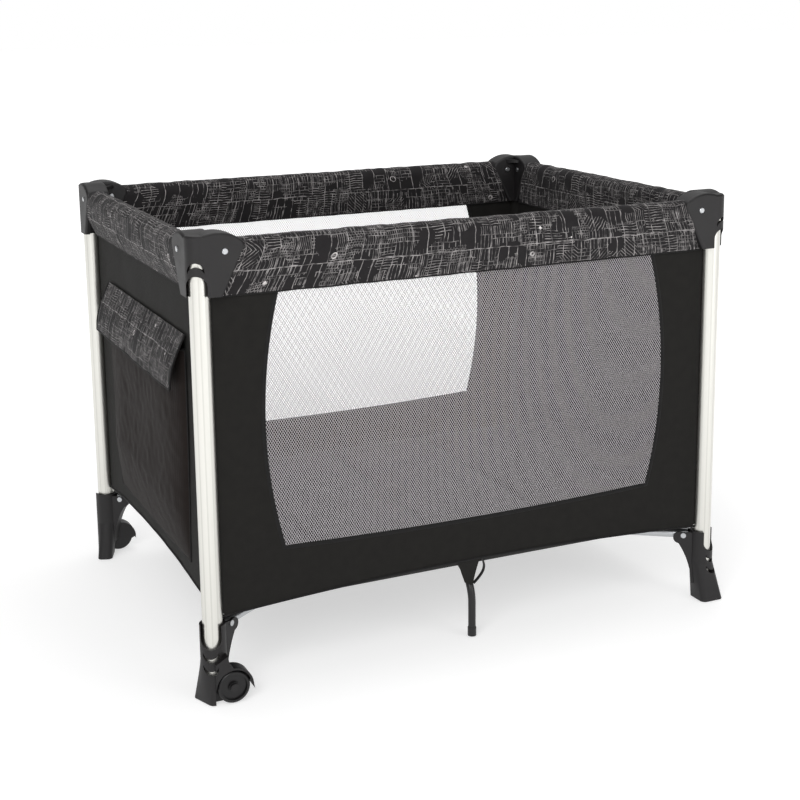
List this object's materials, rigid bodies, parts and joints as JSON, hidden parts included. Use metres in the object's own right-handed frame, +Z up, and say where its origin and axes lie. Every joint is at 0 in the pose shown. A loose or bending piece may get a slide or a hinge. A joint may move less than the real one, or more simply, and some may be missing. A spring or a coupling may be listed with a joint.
{
  "type": "folding playpen",
  "caption": "Folding travel playpen: corner posts, folding top rails that lock at mid span, folding base, fabric walls with mesh windows, end pocket and two wheels.",
  "frame": {"origin": "on the floor, at the centre of the open playpen's footprint", "axes": "+Z up, +X along the long sides towards the plain feet, -Y towards the front; the wheels and the pocket are at -X"},
  "size_m": [1.0421, 0.796, 0.7903],
  "materials": {
    "post_metal": "satin silver anodised",
    "rail_metal": "satin grey powder coat",
    "moulding": "fine matt black",
    "wheel": "matt black",
    "button": "matt red",
    "wall_cloth": "plain black weave",
    "printed_cloth": "black weave with thin pale line drawings",
    "mesh_cloth": "light grey open mesh",
    "pocket_cloth": "brownish black weave",
    "mattress_cloth": "dark grey quilted weave",
    "webbing": "black webbing"
  },
  "bodies": {
    "post_front_left": {"post_front_left": "post_metal", "cap_front_left": "moulding", "foot_front_left": "moulding", "wall_front": "wall_cloth", "mesh_front": "mesh_cloth", "wall_left": "wall_cloth", "pocket": "pocket_cloth"},
    "post_front_right": {"post_front_right": "post_metal", "cap_front_right": "moulding", "foot_front_right": "moulding", "wall_right": "wall_cloth"},
    "post_back_left": {"post_back_left": "post_metal", "cap_back_left": "moulding", "foot_back_left": "moulding", "wall_back": "wall_cloth", "mesh_back": "mesh_cloth"},
    "post_back_right": {"post_back_right": "post_metal", "cap_back_right": "moulding", "foot_back_right": "moulding"},
    "arm_front_left": {"arm_front_left": "rail_metal", "floor_front_left": "wall_cloth"},
    "arm_front_right": {"arm_front_right": "rail_metal", "floor_front_right": "wall_cloth"},
    "arm_back_left": {"arm_back_left": "rail_metal", "floor_back_left": "wall_cloth"},
    "arm_back_right": {"arm_back_right": "rail_metal", "floor_back_right": "wall_cloth"},
    "hub": {"hub": "moulding", "hub_strap": "webbing"},
    "rail_front_left": {"rail_front_left": "rail_metal", "cover_front_left": "printed_cloth"},
    "rail_front_right": {"rail_front_right": "rail_metal", "cover_front_right": "printed_cloth"},
    "latch_front": {"latch_front": "moulding"},
    "button_front": {"button_front": "button"},
    "rail_back_left": {"rail_back_left": "rail_metal", "cover_back_left": "printed_cloth"},
    "rail_back_right": {"rail_back_right": "rail_metal", "cover_back_right": "printed_cloth"},
    "latch_back": {"latch_back": "moulding"},
    "button_back": {"button_back": "button"},
    "rail_left_front": {"rail_left_front": "rail_metal", "cover_left_front": "printed_cloth"},
    "rail_left_back": {"rail_left_back": "rail_metal", "cover_left_back": "printed_cloth"},
    "latch_left": {"latch_left": "moulding"},
    "button_left": {"button_left": "button"},
    "rail_right_front": {"rail_right_front": "rail_metal", "cover_right_front": "printed_cloth"},
    "rail_right_back": {"rail_right_back": "rail_metal", "cover_right_back": "printed_cloth"},
    "latch_right": {"latch_right": "moulding"},
    "button_right": {"button_right": "button"},
    "center_leg_front": {"center_leg_front": "rail_metal"},
    "center_leg_back": {"center_leg_back": "rail_metal"},
    "wheel_front_left": {"wheel_front_left": "wheel"},
    "wheel_back_left": {"wheel_back_left": "wheel"},
    "mattress": {"mattress": "mattress_cloth"},
    "pocket_flap": {"pocket_flap": "printed_cloth"}
  },
  "joints": [
    {"name": "fold", "type": "hinge", "parent": "post_front_left", "child": "arm_front_left", "pos_m": [-0.4622, -0.34542, 0.126], "axis": [0.5759, -0.8175, 0], "range_deg": [0, 85], "deforming": ["wall_front", "wall_back", "wall_left", "wall_right", "mesh_front", "mesh_back", "pocket", "pocket_flap", "mattress", "floor_front_left", "floor_front_right", "floor_back_left", "floor_back_right", "cover_front_left", "cover_front_right", "cover_back_left", "cover_back_right", "cover_left_front", "cover_left_back", "cover_right_front", "cover_right_back"]},
    {"name": "hub_turn", "type": "hinge", "parent": "arm_front_left", "child": "hub", "pos_m": [-0.0392, -0.04742, 0.126], "axis": [0.5759, -0.8175, 0], "range_deg": [-85, 0]},
    {"name": "arm_front_right_turn", "type": "hinge", "parent": "hub", "child": "arm_front_right", "pos_m": [0.0392, -0.04742, 0.126], "axis": [0.5759, 0.8175, 0], "range_deg": [0, 85]},
    {"name": "post_front_right_turn", "type": "hinge", "parent": "arm_front_right", "child": "post_front_right", "pos_m": [0.4622, -0.34542, 0.126], "axis": [0.5759, 0.8175, 0], "range_deg": [-85, 0]},
    {"name": "arm_back_left_turn", "type": "hinge", "parent": "hub", "child": "arm_back_left", "pos_m": [-0.0392, 0.04742, 0.126], "axis": [-0.5759, -0.8175, 0], "range_deg": [0, 85]},
    {"name": "post_back_left_turn", "type": "hinge", "parent": "arm_back_left", "child": "post_back_left", "pos_m": [-0.4622, 0.34542, 0.126], "axis": [-0.5759, -0.8175, 0], "range_deg": [-85, 0]},
    {"name": "arm_back_right_turn", "type": "hinge", "parent": "hub", "child": "arm_back_right", "pos_m": [0.0392, 0.04742, 0.126], "axis": [-0.5759, 0.8175, 0], "range_deg": [0, 85]},
    {"name": "post_back_right_turn", "type": "hinge", "parent": "arm_back_right", "child": "post_back_right", "pos_m": [0.4622, 0.34542, 0.126], "axis": [-0.5759, 0.8175, 0], "range_deg": [-85, 0]},
    {"name": "rail_front_left_turn", "type": "hinge", "parent": "post_front_left", "child": "rail_front_left", "pos_m": [-0.452, -0.365, 0.76], "axis": [0, 1, 0], "range_deg": [0, 85]},
    {"name": "latch_front_turn", "type": "hinge", "parent": "rail_front_left", "child": "latch_front", "pos_m": [-0.029, -0.365, 0.76], "axis": [0, 1, 0], "range_deg": [-85, 0]},
    {"name": "button_front_press", "type": "slide", "parent": "latch_front", "child": "button_front", "axis": [0, 0, 1], "range_m": [0, 0.005], "stiffness_N_per_m": 400, "springref_m": -0.002},
    {"name": "rail_front_right_turn", "type": "hinge", "parent": "post_front_right", "child": "rail_front_right", "pos_m": [0.452, -0.365, 0.76], "axis": [0, -1, 0], "range_deg": [0, 85]},
    {"name": "rail_back_left_turn", "type": "hinge", "parent": "post_back_left", "child": "rail_back_left", "pos_m": [-0.452, 0.365, 0.76], "axis": [0, 1, 0], "range_deg": [0, 85]},
    {"name": "latch_back_turn", "type": "hinge", "parent": "rail_back_left", "child": "latch_back", "pos_m": [-0.029, 0.365, 0.76], "axis": [0, 1, 0], "range_deg": [-85, 0]},
    {"name": "button_back_press", "type": "slide", "parent": "latch_back", "child": "button_back", "axis": [0, 0, 1], "range_m": [0, 0.005], "stiffness_N_per_m": 400, "springref_m": -0.002},
    {"name": "rail_back_right_turn", "type": "hinge", "parent": "post_back_right", "child": "rail_back_right", "pos_m": [0.452, 0.365, 0.76], "axis": [0, -1, 0], "range_deg": [0, 85]},
    {"name": "rail_left_front_turn", "type": "hinge", "parent": "post_front_left", "child": "rail_left_front", "pos_m": [-0.49, -0.327, 0.76], "axis": [-1, 0, 0], "range_deg": [0, 85]},
    {"name": "latch_left_turn", "type": "hinge", "parent": "rail_left_front", "child": "latch_left", "pos_m": [-0.49, -0.029, 0.76], "axis": [-1, 0, 0], "range_deg": [-85, 0]},
    {"name": "button_left_press", "type": "slide", "parent": "latch_left", "child": "button_left", "axis": [0, 0, 1], "range_m": [0, 0.005], "stiffness_N_per_m": 400, "springref_m": -0.002},
    {"name": "rail_left_back_turn", "type": "hinge", "parent": "post_back_left", "child": "rail_left_back", "pos_m": [-0.49, 0.327, 0.76], "axis": [1, 0, 0], "range_deg": [0, 85]},
    {"name": "rail_right_front_turn", "type": "hinge", "parent": "post_front_right", "child": "rail_right_front", "pos_m": [0.49, -0.327, 0.76], "axis": [-1, 0, 0], "range_deg": [0, 85]},
    {"name": "latch_right_turn", "type": "hinge", "parent": "rail_right_front", "child": "latch_right", "pos_m": [0.49, -0.029, 0.76], "axis": [-1, 0, 0], "range_deg": [-85, 0]},
    {"name": "button_right_press", "type": "slide", "parent": "latch_right", "child": "button_right", "axis": [0, 0, 1], "range_m": [0, 0.005], "stiffness_N_per_m": 400, "springref_m": -0.002},
    {"name": "rail_right_back_turn", "type": "hinge", "parent": "post_back_right", "child": "rail_right_back", "pos_m": [0.49, 0.327, 0.76], "axis": [1, 0, 0], "range_deg": [0, 85]},
    {"name": "center_leg_front_turn", "type": "hinge", "parent": "hub", "child": "center_leg_front", "pos_m": [0.01, -0.03, 0.126], "axis": [1, 0, 0], "range_deg": [0, 85]},
    {"name": "center_leg_back_turn", "type": "hinge", "parent": "hub", "child": "center_leg_back", "pos_m": [-0.01, 0.03, 0.126], "axis": [-1, 0, 0], "range_deg": [0, 85]},
    {"name": "mattress_lift", "type": "hinge", "parent": "post_back_left", "child": "mattress", "pos_m": [0, 0.30075, 0.05425], "axis": [-1, 0, 0], "range_deg": [0, 90]},
    {"name": "wheel_front_left_roll", "type": "hinge", "parent": "post_front_left", "child": "wheel_front_left", "pos_m": [-0.465, -0.385, 0.0285], "axis": [0, 1, 0], "continuous": true},
    {"name": "wheel_back_left_roll", "type": "hinge", "parent": "post_back_left", "child": "wheel_back_left", "pos_m": [-0.465, 0.385, 0.0285], "axis": [0, 1, 0], "continuous": true},
    {"name": "pocket_flap_turn", "type": "hinge", "parent": "post_front_left", "child": "pocket_flap", "pos_m": [-0.4833, 0, 0.604], "axis": [0, 1, 0], "range_deg": [0, 150]}
  ],
  "couplings": [
    {"joint": "hub_turn", "follows": "fold", "ratio": -1},
    {"joint": "arm_front_right_turn", "follows": "fold", "ratio": 1},
    {"joint": "post_front_right_turn", "follows": "fold", "ratio": -1},
    {"joint": "arm_back_left_turn", "follows": "fold", "ratio": 1},
    {"joint": "post_back_left_turn", "follows": "fold", "ratio": -1},
    {"joint": "arm_back_right_turn", "follows": "fold", "ratio": 1},
    {"joint": "post_back_right_turn", "follows": "fold", "ratio": -1},
    {"joint": "rail_front_left_turn", "follows": "fold", "ratio": 1},
    {"joint": "latch_front_turn", "follows": "fold", "ratio": -1},
    {"joint": "rail_front_right_turn", "follows": "fold", "ratio": 1},
    {"joint": "rail_back_left_turn", "follows": "fold", "ratio": 1},
    {"joint": "latch_back_turn", "follows": "fold", "ratio": -1},
    {"joint": "rail_back_right_turn", "follows": "fold", "ratio": 1},
    {"joint": "rail_left_front_turn", "follows": "fold", "ratio": 1},
    {"joint": "latch_left_turn", "follows": "fold", "ratio": -1},
    {"joint": "rail_left_back_turn", "follows": "fold", "ratio": 1},
    {"joint": "rail_right_front_turn", "follows": "fold", "ratio": 1},
    {"joint": "latch_right_turn", "follows": "fold", "ratio": -1},
    {"joint": "rail_right_back_turn", "follows": "fold", "ratio": 1},
    {"joint": "center_leg_front_turn", "follows": "fold", "ratio": 1},
    {"joint": "center_leg_back_turn", "follows": "fold", "ratio": 1},
    {"joint": "mattress_lift", "follows": "fold", "ratio": 1.0588}
  ]
}
